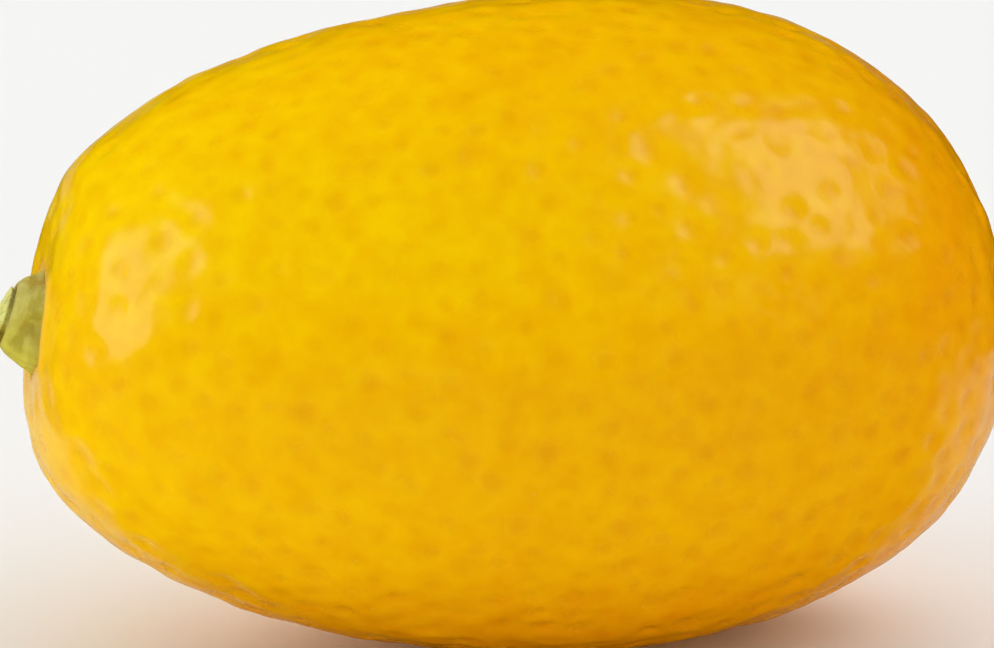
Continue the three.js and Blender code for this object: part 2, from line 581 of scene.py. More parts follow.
def start_material(name: str) -> tuple[bpy.types.Material, NodeSheet, bpy.types.Node, Socket]:
    """Starts a material.

    Args:
        name: the material's name.

    Returns:
        The material, its sheet, its Principled shader and the object coordinates.
    """
    material = bpy.data.materials.new(name)
    material.use_nodes = True
    shader = material.node_tree.nodes["Principled BSDF"]
    sheet = NodeSheet(material.node_tree)
    return material, sheet, shader, sheet.add("ShaderNodeTexCoord").outputs["Object"]


# ---------------------------------------------------------------------------------------------------
# The fruit


@dataclass(frozen=True)
class PeelFinish:
    """Waxy citrus peel: yellow at the stem end, orange at the blossom end, with darker oil glands.

    Yellow is the share of green to red light that the peel gives back. Places along and up the fruit run
    from -1 to 1 between its ends and between its underside and top. Each belt is a yellower band round the
    fruit: how much yellower, its middle and its spread. The end's ranges are where its orange comes in.
    The rise of yellow towards the top and the two belts are partly the peel's own colour and partly painted
    light: the oranger underside is painted shade, the upper belt is a painted sheen near the highlights, and
    the lower belt is painted light bounced up from the floor.
    """

    yellowest: float = 0.66
    reddest: float = 0.41
    colors: tuple[tuple[float, Color], ...] = (
        (0.0, (0.96, 0.634, 0.001, 1)),
        (0.5, (0.905, 0.484, 0.0005, 1)),
        (1.0, (0.84, 0.344, 0.0005, 1)),
    )
    usual_yellow: float = 0.443
    yellow_along: float = -0.078
    # painted light by height, partly the peel's own colour: a yellower top over an oranger, shaded underside,
    # a painted sheen in the upper belt and painted floor bounce in the lower one
    yellow_up_and_shade: float = 0.074
    yellow_drift: float = 0.03
    upper_sheen_belt: tuple[float, float, float] = (0.074, 0.5, 0.4)
    lower_bounce_belt: tuple[float, float, float] = (0.082, -0.4, 0.42)
    orange_end: float = 0.078
    end_along: Span = (0.6, 0.85)
    end_up: Span = (-0.3, 0.5)
    half_length: float = 19 * MM
    half_height: float = 12.5 * MM
    drift_size: float = 9 * MM
    patch_size: float = 1.15 * MM
    patch_contrast: float = 1.35
    gland_tint: Color = (0.94, 0.85, 0.6, 1)
    # painted sheen: the pale, whitish tint of the raised ring of skin beside the calyx
    ring_sheen_color: Color = (0.93, 0.52, 0.08, 1)
    dull_patch: Color = (0.97, 0.91, 0.8, 1)
    bright_patch: Color = (1.02, 1.07, 1.0, 1)
    scar_color: Color = (0.3, 0.15, 0.04, 1)
    roughness: Span = (0.16, 0.25)
    pit_roughness: float = 0.15
    scar_roughness: float = 0.7
    wax_size: float = 1.3 * MM
    grain_size: float = 0.25 * MM
    grain_depth: float = 0.01 * MM
    grain_strength: float = 0.25
    ior: float = 1.45

    def material(self, effects: Effects) -> bpy.types.Material:
        """Builds the peel's material.

        Args:
            effects: the shared node groups.

        Returns:
            The material.
        """
        material, sheet, shader, place = start_material("kumquat_peel")
        base = sheet.ramp(self._ripeness_and_light(effects, sheet, place), self.colors)
        patches = effects.mottled(sheet, place, self.patch_size, self.patch_contrast, 2.0)
        base = sheet.blend(1.0, base, sheet.blend(patches, self.dull_patch, self.bright_patch), "MULTIPLY")
        tinted = sheet.blend(1.0, base, self.gland_tint, "MULTIPLY")
        base = sheet.blend(sheet.attribute("gland"), base, tinted)
        # Painted sheen: the raised ring beside the calyx is tinted paler and whiter, as if it caught the
        # light.
        base = sheet.blend(sheet.attribute("ring"), base, self.ring_sheen_color)
        scar = sheet.attribute("scar")
        base = sheet.blend(scar, base, self.scar_color)

        wax = effects.mottled(sheet, place, self.wax_size, 1.0)
        rough = sheet.ranged(wax, 0.0, 1.0, *self.roughness)
        rough = sheet.total(rough, sheet.times(sheet.attribute("pit"), self.pit_roughness))
        rough = sheet.math("MAXIMUM", rough, sheet.times(scar, self.scar_roughness))

        grain = effects.mottled(sheet, place, self.grain_size, 1.0)
        skin = sheet.grained(grain, self.grain_strength, self.grain_depth)
        sheet.dress(shader, Base_Color=base, Roughness=rough, Normal=skin)
        shader.inputs["IOR"].default_value = self.ior
        return material

    def _ripeness_and_light(self, effects: Effects, sheet: NodeSheet, place: Socket) -> Socket:
        """Works out how ripe the peel is at each place, with painted light laid over it by height.

        Args:
            effects: the shared node groups.
            sheet: the material's sheet.
            place: the object coordinates.

        Returns:
            The ripeness with the painted light in it, from 0 where the peel is yellowest to 1 where it is
            reddest.
        """
        axes = sheet.add("ShaderNodeSeparateXYZ", from_Vector=place)
        along = sheet.times(axes.outputs["X"], 1 / self.half_length)
        up = sheet.times(sheet.total(axes.outputs["Z"], -self.half_height), 1 / self.half_height)
        # The rise of yellow towards the top paints shade on the underside as a deeper orange.
        yellow = sheet.total(
            sheet.times(along, self.yellow_along), self.usual_yellow, sheet.times(up, self.yellow_up_and_shade)
        )
        # The upper belt is a painted sheen near the highlights; the lower belt is painted light bounced up
        # from the floor.
        for rise, middle, spread in (self.upper_sheen_belt, self.lower_bounce_belt):
            away = sheet.math("DIVIDE", sheet.total(up, -middle), spread)
            belt = sheet.math("EXPONENT", sheet.times(sheet.times(away, away), -1.0))
            yellow = sheet.total(yellow, sheet.times(belt, rise))
        end = sheet.times(sheet.ranged(along, *self.end_along), sheet.ranged(up, *self.end_up))
        drift = sheet.total(effects.mottled(sheet, place, self.drift_size, 1.0, 2.0), -0.5)
        yellow = sheet.total(
            yellow, sheet.times(end, -self.orange_end), sheet.times(drift, self.yellow_drift)
        )
        over = sheet.math("SUBTRACT", self.yellowest, yellow)
        return sheet.math("DIVIDE", over, self.yellowest - self.reddest)


@dataclass(frozen=True)
class Glands:
    """The oil glands: shallow pits scattered evenly over the peel.

    A share of them are deep and wide. Ranges are what each gland's own size, depth and tone are drawn
    from. The pit's spread and the spot's whole and core are shares of a gland's radius: the darker spot is
    even over its core. Each point of the peel takes the pits of the nearest few glands together.
    """

    spacing: float = 1.2 * MM
    radius: float = 0.72 * MM
    radius_range: Span = (0.8, 1.2)
    usual_depth: float = 0.028 * MM
    deep_depth: float = 0.12 * MM
    depth_range: Span = (0.4, 1.1)
    deep_width: float = 1.2
    deep_share: float = 0.65
    pit_spread: float = 0.58
    spot_share: float = 0.65
    spot_core: float = 0.35
    tone_range: Span = (0.25, 0.7)
    merged: int = 3
    seed: int = 11

    def scattered(self, points: Points) -> Points:
        """Picks gland middles among the points, in random order, none nearer than the spacing.

        Args:
            points: the peel's points.

        Returns:
            The points picked.
        """
        order = list(range(len(points)))
        random.Random(self.seed).shuffle(order)
        cell = self.spacing / math.sqrt(3)
        taken: dict[tuple[int, int, int], Points] = {}
        around = list(itertools.product(range(-2, 3), repeat=3))
        chosen = []
        for index in order:
            point = points[index]
            key = tuple(int(c) for c in np.floor(point / cell))
            if key in taken:
                continue
            near = (taken.get((key[0] + i, key[1] + j, key[2] + k)) for i, j, k in around)
            if all(other is None or np.linalg.norm(other - point) >= self.spacing for other in near):
                taken[key] = point
                chosen.append(point)
        return np.array(chosen)

    def fields(self, points: Points) -> tuple[Values, Values]:
        """Adds up the glands near each point.

        Args:
            points: the peel's points.

        Returns:
            The pits' depth, and how strongly the glands' darker spots show, from 0 to 1.
        """
        middles = self.scattered(points)
        count = len(middles)
        tree = KDTree(count)
        for index, middle in enumerate(middles):
            tree.insert(middle, index)
        tree.balance()
        found = [tree.find_n(point, self.merged) for point in points]
        which = np.array([[index for _, index, _ in near] for near in found])
        distance = np.array([[gap for _, _, gap in near] for near in found])

        dice = np.random.default_rng(self.seed)
        radius = self.radius * dice.uniform(*self.radius_range, count)
        deep = dice.uniform(0, 1, count) < self.deep_share
        spot = self.spot_share * radius
        radius[deep] *= self.deep_width
        depth = np.where(deep, self.deep_depth, self.usual_depth) * dice.uniform(*self.depth_range, count)
        tones = dice.uniform(*self.tone_range, count)
        LOG.info("%d oil glands", count)
        pits = (depth[which] * bump(distance / radius[which], self.pit_spread)).sum(axis=1)
        spots = tones[which] * (1 - smooth_step(self.spot_core, 1.0, distance / spot[which]))
        return pits, spots.max(axis=1)


@dataclass
class Fruit:
    """The fruit: one body of peel and flesh, with the style's scar at its blossom end.

    Its relief dies away towards the floor and towards the calyx, where a ring of skin is raised.
    """

    form: FruitForm
    place: Vector
    button: "ButtonForm"
    finish: PeelFinish = field(default_factory=PeelFinish)
    glands: Glands = field(default_factory=Glands)
    levels: int = 7
    crowding: float = 0.15
    lump_height: float = 0.085 * MM
    lump_size: float = 3.4 * MM
    ring_height: float = 0.13 * MM
    ring_width: float = 0.22 * MM
    ripple_height: float = 0.043 * MM
    ripple_size: float = 1.4 * MM
    press_softness: float = 0.03 * MM
    calm_above_floor: Span = (0.05 * MM, 0.5 * MM)
    calm_by_calyx: float = 3 * MM
    scar_edge: Span = (0.2 * MM, 0.55 * MM)

    def build(self, effects: Effects) -> Piece:
        """Makes, dresses and settles the fruit.

        Args:
            effects: the node groups that the finishes share.

        Returns:
            The finished piece.
        """
        piece = self._blank()
        directions = read_points(piece)
        directions /= np.linalg.norm(directions, axis=1, keepdims=True)
        smooth = self.form.skin(directions, self.crowding) + np.array(self.place)
        write_points(piece, smooth)
        self._add_relief(piece, smooth)
        settle(piece, "fruit_skin", self.finish.material(effects))
        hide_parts("fruit")
        return piece

    def _blank(self) -> Piece:
        """Makes a finely divided ball with no poles, from a cube.

        Returns:
            The ball.
        """
        bpy.ops.object.select_all(action="DESELECT")
        bpy.ops.mesh.primitive_cube_add(size=2)
        piece = bpy.context.object
        subdivide(piece, self.levels)
        bpy.ops.object.mode_set(mode="EDIT")
        bpy.ops.mesh.select_all(action="SELECT")
        bpy.ops.transform.tosphere(value=1.0)
        bpy.ops.object.mode_set(mode="OBJECT")
        return piece

    def _add_relief(self, piece: Piece, smooth: Points) -> None:
        """Adds the peel's lumps, its glands and the flat resting spot.

        Args:
            piece: the fruit.
            smooth: its points before any relief.
        """
        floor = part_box("fruit")[0].z
        clear = smooth_step(*self.calm_above_floor, smooth[:, 2] - floor)
        pits, spots = self.glands.fields(smooth)
        lumps = self.lump_height * cloud(smooth, self.lump_size, 1.0)
        ripples = self.ripple_height * cloud(smooth, self.ripple_size, 21.0)
        beside = self._beside_calyx(smooth)
        crest = 0.7 * self.ring_width
        ring = bump(beside - crest, self.ring_width)
        clear *= smooth_step(0, self.calm_by_calyx, beside)
        height = (lumps + ripples - pits) * clear + self.ring_height * ring
        points = smooth + read_normals(piece) * height[:, None]
        over = (points[:, 2] - floor) / self.press_softness
        points[:, 2] = floor + self.press_softness * np.logaddexp(0, over)
        write_points(piece, points)
        write_attribute(piece, "gland", spots)
        write_attribute(piece, "pit", np.clip(pits / self.glands.deep_depth, 0, 1))
        write_attribute(piece, "scar", self._scar_mask(smooth))
        # The ring's mask also lays the painted sheen on it in the peel's material.
        write_attribute(piece, "ring", ring)

    def _beside_calyx(self, smooth: Points) -> Values:
        """Measures from the calyx's rim.

        Args:
            smooth: the fruit's points before any relief.

        Returns:
            How far each lies outside the rim, less than 0 under the calyx.
        """
        middle = self.button.seated(np.zeros((1, 3)))[0]
        x, y, z = (smooth - middle).T
        rim = self.button.tip_radius * self.button.lobe_share(y, z)
        return np.where(x < self.form.half, np.hypot(y, z) - rim, self.form.half)

    def _scar_mask(self, smooth: Points) -> Values:
        """Finds the style's scar at the blossom end.

        Args:
            smooth: the fruit's points before any relief.

        Returns:
            1 on the scar, and 0 elsewhere.
        """
        tip = smooth[np.argmax(smooth[:, 0] - 4 * np.abs(smooth[:, 1]))]
        away = np.linalg.norm(smooth - tip, axis=1)
        return 1 - smooth_step(*self.scar_edge, away)


# ---------------------------------------------------------------------------------------------------
# The button at the stem end: the calyx and the stalk's snapped end


@dataclass(frozen=True)
class ButtonForm:
    """How calyx and stalk stand on the fruit, and the sizes that they share.

    Heights stand out from the skin towards -X, and lean is how far the button leans down for each metre out.
    The collar slants by itself: it grips the stalk lower on top than underneath, while the whole button
    keeps one even outline. Its level is the height, as a share of its radius, that the slant leaves alone.
    Lobes are counted in degrees from +Y towards +Z. One is shorter than the rest, by a share of its length.
    """

    fruit: FruitForm
    place: Vector
    lobes: int = 5
    first_lobe: float = 66
    tip_radius: float = 2.3 * MM
    notch: float = 0.45 * MM
    lobe_point: float = 1.6
    short_lobe: float = 80
    short_spread: float = 28
    short_by: float = 0.17
    edge: float = 0.05 * MM
    waist: tuple[float, float] = (1.87 * MM, 0.68 * MM)
    collar_radius: float = 1.32 * MM
    collar_height: float = 1.38 * MM
    collar_slant: float = 0.17
    collar_level: float = 0.4
    socket_depth: float = 0.45 * MM
    lean: float = 0.07
    stalk_radius: float = 1.1 * MM
    stalk_shoulder: float = 1.02 * MM
    stalk_tip: float = 0.74 * MM
    stalk_height: float = 1.95 * MM
    wall: float = 0.14 * MM

    def lobe_share(self, y: Values, z: Values) -> Values:
        """Shapes the calyx's rim.

        Args:
            y: places across the button.
            z: places up the button.

        Returns:
            The rim's radius at their angles, as a share of a lobe's tip.
        """
        angle = np.arctan2(z, y)
        from_tip = np.abs(np.sin(self.lobes / 2 * (angle - math.radians(self.first_lobe))))
        short = self.short_by * bump(turned_from(np.degrees(angle), self.short_lobe), self.short_spread)
        return (1 - self.notch / self.tip_radius * from_tip**self.lobe_point) * (1 - short)

    def flare(self, t: float) -> tuple[float, float]:
        """Follows the flare.

        Args:
            t: the place on it, from 0 at the rim to 1 at the collar's lip.

        Returns:
            The radius and the height there.
        """
        ends = ((self.tip_radius, self.edge), self.waist, (self.collar_radius, self.collar_height))
        weights = ((1 - t) ** 2, 2 * t * (1 - t), t**2)
        return tuple(sum(w * end[i] for w, end in zip(weights, ends)) for i in (0, 1))

    def outline_at(self, height: Values) -> Values:
        """Follows the whole button, up the flare and on over the stalk.

        Args:
            height: heights above the skin.

        Returns:
            The outer radii there.
        """
        steps = 12
        radii, heights = zip(*(self.flare(step / steps) for step in range(steps + 1)))
        shoulder = (self.collar_height + self.stalk_height) / 2
        heights = (0.0, *heights, shoulder, self.stalk_height)
        radii = (self.tip_radius, *radii, self.stalk_shoulder, self.stalk_tip)
        return np.interp(height, heights, radii)

    def collar_at(self, angle: Values) -> Values:
        """The height of the collar's lip at angles from +Y towards +Z."""
        rise = self.collar_radius * (np.sin(angle) - self.collar_level)
        return self.collar_height - self.collar_slant * rise

    def seated(self, points: Points, share: Values | float = 1.0, sunk: float = 0.0) -> Points:
        """Seats straight points on the fruit's skin and bends them with the fruit.

        Args:
            points: points of a form whose foot is at X 0 and whose top is at -X.
            share: how far each point draws in towards the button's axis.
            sunk: how far the foot goes into the skin.

        Returns:
            The points in their places in the frame.
        """
        rise = self.fruit.button_rise
        across, up = points[:, 1] * share, points[:, 2] * share
        x = points[:, 0] + self.fruit.stem_skin_at(across, up + rise) + sunk
        up = up + rise + self.lean * points[:, 0]
        return self.fruit.bent(np.stack([x, across, up], axis=1)) + np.array(self.place)


def turn_profile(profile: Profile, around: int) -> Piece:
    """Makes a closed form from a disc whose rim is extruded ring by ring, and then closed.

    Args:
        profile: each ring's radius and its height towards -X, from the foot's disc to the top.
        around: how many points each ring has.

    Returns:
        The new piece, with its axis along X.
    """
    bpy.ops.object.select_all(action="DESELECT")
    radius, height = profile[0]
    bpy.ops.mesh.primitive_circle_add(vertices=around, radius=radius, fill_type="TRIFAN")
    piece = bpy.context.object
    bpy.ops.object.mode_set(mode="EDIT")
    bpy.ops.mesh.select_all(action="SELECT")
    bpy.ops.transform.rotate(value=math.pi / 2, orient_axis="Y", center_override=(0, 0, 0))
    bpy.ops.transform.translate(value=(-height, 0, 0))
    bpy.ops.mesh.select_all(action="DESELECT")
    bpy.ops.mesh.select_non_manifold()
    for new_radius, new_height in profile[1:]:
        bpy.ops.mesh.extrude_edges_move(TRANSFORM_OT_translate={"value": (height - new_height, 0, 0)})
        scale = new_radius / radius
        bpy.ops.transform.resize(value=(1, scale, scale), center_override=(-new_height, 0, 0))
        radius, height = new_radius, new_height
    bpy.ops.mesh.merge(type="CENTER")
    bpy.ops.mesh.select_all(action="SELECT")
    bpy.ops.mesh.normals_make_consistent(inside=False)
    bpy.ops.object.mode_set(mode="OBJECT")
    return piece


@dataclass(frozen=True)
class CalyxFinish:
    """Olive green, a little dried, with brown edges. Its paler ridges and browner grooves are painted
    highlight and painted shade on its wrinkles, and the rim's orange-brown is partly painted light bounced
    from the peel.
    """

    green: Color = (0.52, 0.46, 0.115, 1)
    # pale is both the random paler patches and the painted highlight on raised wrinkles; the groove colour is
    # painted shade in sunken ones
    pale: Color = (0.62, 0.57, 0.18, 1)
    groove_shade: Color = (0.42, 0.35, 0.07, 1)
    # the edges' brown: dry at the collar's lip, and at the rim partly painted light bounced from the peel
    dry_and_bounce: Color = (0.46, 0.33, 0.07, 1)
    patch_size: float = 0.45 * MM
    patch_contrast: float = 1.5
    paled: float = 0.4
    roughness: Span = (0.44, 0.6)
    grain_size: float = 0.09 * MM
    grain_depth: float = 0.02 * MM
    grain_strength: float = 0.4

    def material(self, effects: Effects) -> bpy.types.Material:
        """Builds the calyx's material.

        Args:
            effects: the shared node groups.

        Returns:
            The material.
        """
        material, sheet, shader, place = start_material("kumquat_calyx")
        ridge = sheet.attribute("ridge")
        patches = effects.mottled(sheet, place, self.patch_size, self.patch_contrast)
        # Painted highlight: raised wrinkles are paler.
        base = sheet.blend(sheet.ranged(ridge, 0.1, 1.0), self.green, self.pale)
        # Painted shade: sunken wrinkles are browner.
        base = sheet.blend(sheet.ranged(ridge, -0.1, -0.9), base, self.groove_shade)
        soft = sheet.ranged(patches, 0.45, 0.9)
        base = sheet.blend(sheet.times(soft, self.paled), base, self.pale)
        # Brown edges: the collar's lip is dry, and the rim's orange-brown is partly painted light bounced
        # from the peel.
        base = sheet.blend(sheet.attribute("edge"), base, self.dry_and_bounce)
        rough = sheet.ranged(patches, 0.0, 1.0, *self.roughness)
        grain = effects.mottled(sheet, place, self.grain_size, 1.0)
        skin = sheet.grained(grain, self.grain_strength, self.grain_depth)
        sheet.dress(shader, Base_Color=base, Roughness=rough, Normal=skin)
        return material


@dataclass
class Calyx:
    """The calyx: a button that flares from a narrow collar to five short lobes.

    Its wrinkles run down the flare, so their size is a share of a turn and their run is a length. They calm
    down by a share towards the collar.
    """

    form: ButtonForm
    finish: CalyxFinish = field(default_factory=CalyxFinish)
    around: int = 40
    rings: int = 9
    levels: int = 3
    rib_height: float = 0.04 * MM
    wrinkle_height: float = 0.065 * MM
    wrinkle_size: float = 0.9
    wrinkle_run: float = 0.42 * MM
    lump_height: float = 0.02 * MM
    lump_size: float = 0.5 * MM
    calming: float = 0.6
    raggedness: float = 0.05
    ragged_size: float = 0.25
    sunk: float = 0.07 * MM

    def build(self, effects: Effects) -> Piece:
        """Makes, dresses and settles the calyx.

        Args:
            effects: the node groups that the finishes share.

        Returns:
            The finished piece.
        """
        piece = turn_profile(self._profile(), self.around)
        subdivide(piece, self.levels)
        straight = read_points(piece)
        self._seat(piece, straight)
        settle(piece, "calyx_button", self.finish.material(effects))
        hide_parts("calyx")
        return piece

    def _profile(self) -> Profile:
        """Draws the calyx's section.

        Returns:
            Its radii and heights: underside, rim, flare, collar and socket.
        """
        form = self.form
        floor = form.collar_height - form.socket_depth
        socket = form.collar_radius - form.wall
        under = [(share * form.tip_radius, 0.0) for share in (0.25, 0.5, 0.75, 0.95)]
        rim = [(form.tip_radius, form.edge / 2)]
        flare = [form.flare(ring / self.rings) for ring in range(self.rings + 1)]
        wall = [(socket, form.collar_height), (socket, (floor + form.collar_height) / 2)]
        return under + rim + flare + wall + [(socket, floor), (0.9 * socket, floor), (0.3 * socket, floor)]

    def _seat(self, piece: Piece, straight: Points) -> None:
        """Gives the calyx its slanting collar, lobes, ribs and wrinkles, and seats it on the fruit.

        Args:
            piece: the calyx.
            straight: its points before any of this.
        """
        form = self.form
        radius, angle = polar(straight)
        height = -straight[:, 0]
        share_up = smooth_step(form.edge, form.collar_height, height)
        raised = height + share_up * (form.collar_at(angle) - form.collar_height)
        narrowed = np.where(share_up > 0, form.outline_at(raised) / form.outline_at(height), 1)
        shaped = np.stack([-raised, straight[:, 1] * narrowed, straight[:, 2] * narrowed], axis=1)
        outer = smooth_step(form.collar_radius, form.tip_radius, radius)
        lobed = 1 + outer * (form.lobe_share(straight[:, 1], straight[:, 2]) - 1)
        circle = np.stack([np.cos(angle), np.sin(angle), 0 * angle], axis=1)
        ragged = self.raggedness * outer * cloud(circle, self.ragged_size, 3.0)
        write_points(piece, form.seated(shaped, lobed * (1 + ragged), self.sunk))

        top = smooth_step(0.3 * form.edge, form.edge, height)
        inside = smooth_step(form.collar_radius - form.wall, form.collar_radius, radius)
        ribs = np.cos(form.lobes * (angle - math.radians(form.first_lobe)))
        around = np.stack([np.cos(angle), np.sin(angle), radius / self.wrinkle_run], axis=1)
        wrinkles = cloud(around, self.wrinkle_size, 5.0, 3)
        lumps = cloud(straight, self.lump_size, 7.0, 3)
        relief = wrinkles * self.wrinkle_height + lumps * self.lump_height
        calm = 1 - self.calming * smooth_step(0.5 * form.collar_height, form.collar_height, height)
        grow(piece, (relief * calm + ribs * self.rib_height * outer) * top * inside)
        # These ridge values also drive the painted highlight and shade on the wrinkles in the calyx's
        # material.
        write_attribute(piece, "ridge", np.clip(relief / (0.6 * self.wrinkle_height), -1, 1))
        # The rim's share of the edge mask is partly painted bounce from the peel; the lip's share is dry
        # tissue.
        rim = smooth_step(0.93, 1.0, radius / form.tip_radius)
        lip = smooth_step(0.9 * form.collar_height, form.collar_height, height)
        write_attribute(piece, "edge", np.clip(0.6 * rim + 0.5 * lip, 0, 1))


@dataclass(frozen=True)
class StalkFinish:
    """Snapped young wood: pale fibres, a brown scab, and a brown band above the collar's lip that is partly
    the stalk's brown woody skin and partly painted shade in the crease.
    """

    pale: Color = (0.72, 0.71, 0.3, 1)
    deep: Color = (0.52, 0.47, 0.13, 1)
    # brown of the bark scab, also the painted shade in the crease above the collar's lip
    bark_and_shade: Color = (0.22, 0.15, 0.02, 1)
    patch_size: float = 0.3 * MM
    patch_contrast: float = 1.5
    deepened: float = 0.5
    roughness: Span = (0.62, 0.8)
    grain_size: float = 0.05 * MM
    grain_depth: float = 0.02 * MM
    grain_strength: float = 0.5

    def material(self, effects: Effects) -> bpy.types.Material:
        """Builds the stalk's material.

        Args:
            effects: the shared node groups.

        Returns:
            The material.
        """
        material, sheet, shader, place = start_material("kumquat_stalk")
        patches = effects.mottled(sheet, place, self.patch_size, self.patch_contrast)
        base = sheet.blend(sheet.ranged(sheet.attribute("fibre"), 0.2, -0.8), self.pale, self.deep)
        dull = sheet.ranged(patches, 0.5, 0.9)
        base = sheet.blend(sheet.times(dull, self.deepened), base, self.deep)
        # Brown on the bark scab, and as painted shade in the crease just above the collar's lip.
        base = sheet.blend(sheet.attribute("bark_and_shade"), base, self.bark_and_shade)
        rough = sheet.ranged(patches, 0.0, 1.0, *self.roughness)
        grain = effects.mottled(sheet, place, self.grain_size, 1.0)
        skin = sheet.grained(grain, self.grain_strength, self.grain_depth)
        sheet.dress(shader, Base_Color=base, Roughness=rough, Normal=skin)
        return material


@dataclass
class Stalk:
    """The stalk's snapped end: a short stub in the calyx's collar with a slanting, fibrous face.

    Fibres run along it, so their size is a share of a turn and their run is a length. The scab is a patch of
    brown woody skin at an angle from +Y towards +Z, and the crease reach is how far the brown band above the
    collar's lip reaches: partly woody skin and partly painted shade in the crease between stalk and collar.
    The held part stays clear of the collar's outside by the grip, in wall thicknesses, and is let go over a
    height above the lip. The broken face comes in over a height below the stalk's top.
    """

    form: ButtonForm
    finish: StalkFinish = field(default_factory=StalkFinish)
    around: int = 32
    levels: int = 3
    hollow: float = 0.1 * MM
    face_slant: float = 0.2
    splinter_height: float = 0.12 * MM
    splinter_size: float = 0.16 * MM
    fibre_height: float = 0.04 * MM
    fibre_size: float = 0.12
    fibre_run: float = 4 * MM
    scab_angle: float = -143
    scab_spread: float = 26
    # reach of the brown band above the collar's lip, partly bark and partly painted shade in the crease
    crease_shade_reach: float = 0.22 * MM
    grip: float = 1.2
    let_go: Span = (0.02 * MM, 0.15 * MM)
    face_from: float = 0.2 * MM
    face_whole: float = 0.06 * MM

    def build(self, effects: Effects) -> Piece:
        """Makes, dresses and settles the stalk.

        Args:
            effects: the node groups that the finishes share.

        Returns:
            The finished piece.
        """
        piece = turn_profile(self._profile(), self.around)
        subdivide(piece, self.levels)
        straight = read_points(piece)
        self._seat(piece, straight)
        settle(piece, "stalk_end", self.finish.material(effects))
        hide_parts("stalk")
        return piece

    def _profile(self) -> Profile:
        """Draws the stalk's section.

        Returns:
            Its radii and heights: foot, side, rim and broken face.
        """
        form = self.form
        foot = form.collar_height - form.socket_depth
        heights = [foot + share * (form.stalk_height - foot) for share in (0.0, 0.15, 0.35, 0.55, 0.75, 0.92)]
        side = [(form.stalk_radius, height) for height in heights]
        face = [(1.0, 0.04 * MM), (0.94, 0.0), (0.7, 0.4 * self.hollow), (0.4, 0.8 * self.hollow)]
        top = [(share * form.stalk_radius, form.stalk_height - drop) for share, drop in face]
        return [(0.4 * form.stalk_radius, foot)] + side + top

    def _seat(self, piece: Piece, straight: Points) -> None:
        """Fits the stub to the collar, breaks and slants its face, gives it fibres, and seats it.

        Args:
            piece: the stalk.
            straight: its points before any of this.
        """
        form = self.form
        radius, angle = polar(straight)
        height = -straight[:, 0]
        above_lip = height - form.collar_at(angle)
        held = 1 - smooth_step(*self.let_go, above_lip)
        outline = form.outline_at(height)
        gripped = np.minimum(outline, form.collar_radius) - self.grip * form.wall
        fitted = (outline + held * (gripped - outline)) / form.stalk_radius
        top = form.stalk_height
        out = smooth_step(form.collar_height, top, height)
        face = smooth_step(top - self.face_from, top - self.face_whole, height)
        across = np.stack([straight[:, 1] * fitted, straight[:, 2] * fitted, 0 * radius], axis=1)
        splinters = cloud(across, self.splinter_size, 13.0, 3)
        x = straight[:, 0] + out * self.face_slant * straight[:, 2] - face * splinters * self.splinter_height
        write_points(piece, form.seated(np.stack([x, across[:, 0], across[:, 1]], axis=1)))

        around = np.stack([np.cos(angle), np.sin(angle), height / self.fibre_run], axis=1)
        fibres = cloud(around, self.fibre_size, 9.0, 3)
        side = smooth_step(0.5 * form.stalk_radius, form.stalk_radius, radius) * (1 - face) * (1 - held)
        grow(piece, fibres * self.fibre_height * side)
        write_attribute(piece, "fibre", np.clip(np.where(face > 0.5, splinters, fibres) * 1.5, -1, 1))
        # Painted shade: a brown band where the stalk meets the collar's lip, partly bark.
        low = 1 - smooth_step(0.0, self.crease_shade_reach, above_lip)
        rim = smooth_step(0.3 * form.stalk_radius, 0.9 * form.stalk_radius, radius)
        scab = bump(turned_from(np.degrees(angle), self.scab_angle), self.scab_spread) * rim
        write_attribute(piece, "bark_and_shade", np.clip(0.55 * low + 0.9 * scab, 0, 1))


# ---------------------------------------------------------------------------------------------------
# The studio


@dataclass(frozen=True)
class Softbox:
    """A soft light, placed by the way that it faces from and its distance.

    Azimuth 0 is in front of the fruit's side at -Y, and 90 is at +X. Angles are in degrees, and the
    radiance is the box's own brightness, where 1 is a white surface in full light.
    """

    name: str
    azimuth: float
    elevation: float
    distance: float
    width: float
    height: float
    radiance: float
    shape: str = "ELLIPSE"
    roll: float = 0
    shines: bool = True

    def build(self, target: Vector) -> bpy.types.Object:
        """Makes the light.

        Args:
            target: the point that it is aimed at.

        Returns:
            The light.
        """
        data = bpy.data.lights.new(self.name, "AREA")
        data.shape = self.shape
        data.size = self.width
        data.size_y = self.height
        share = math.pi / 4 if self.shape == "ELLIPSE" else 1
        data.energy = math.pi * self.radiance * share * self.width * self.height
        light = bpy.data.objects.new(self.name, data)
        bpy.context.scene.collection.objects.link(light)
        back = direction(self.azimuth, self.elevation)
        light.location = target + back * self.distance
        turn = back.to_track_quat("Z", "Y") @ Quaternion((0, 0, 1), math.radians(self.roll))
        light.rotation_euler = turn.to_euler()
        light.visible_camera = False
        light.visible_glossy = self.shines
        data.cycles.use_multiple_importance_sampling = self.shines
        return light


def direction(azimuth: float, elevation: float) -> Vector:
    """The unit direction at an azimuth and elevation in degrees."""
    a, e = math.radians(azimuth), math.radians(elevation)
    return Vector((math.sin(a) * math.cos(e), -math.cos(a) * math.cos(e), math.sin(e)))


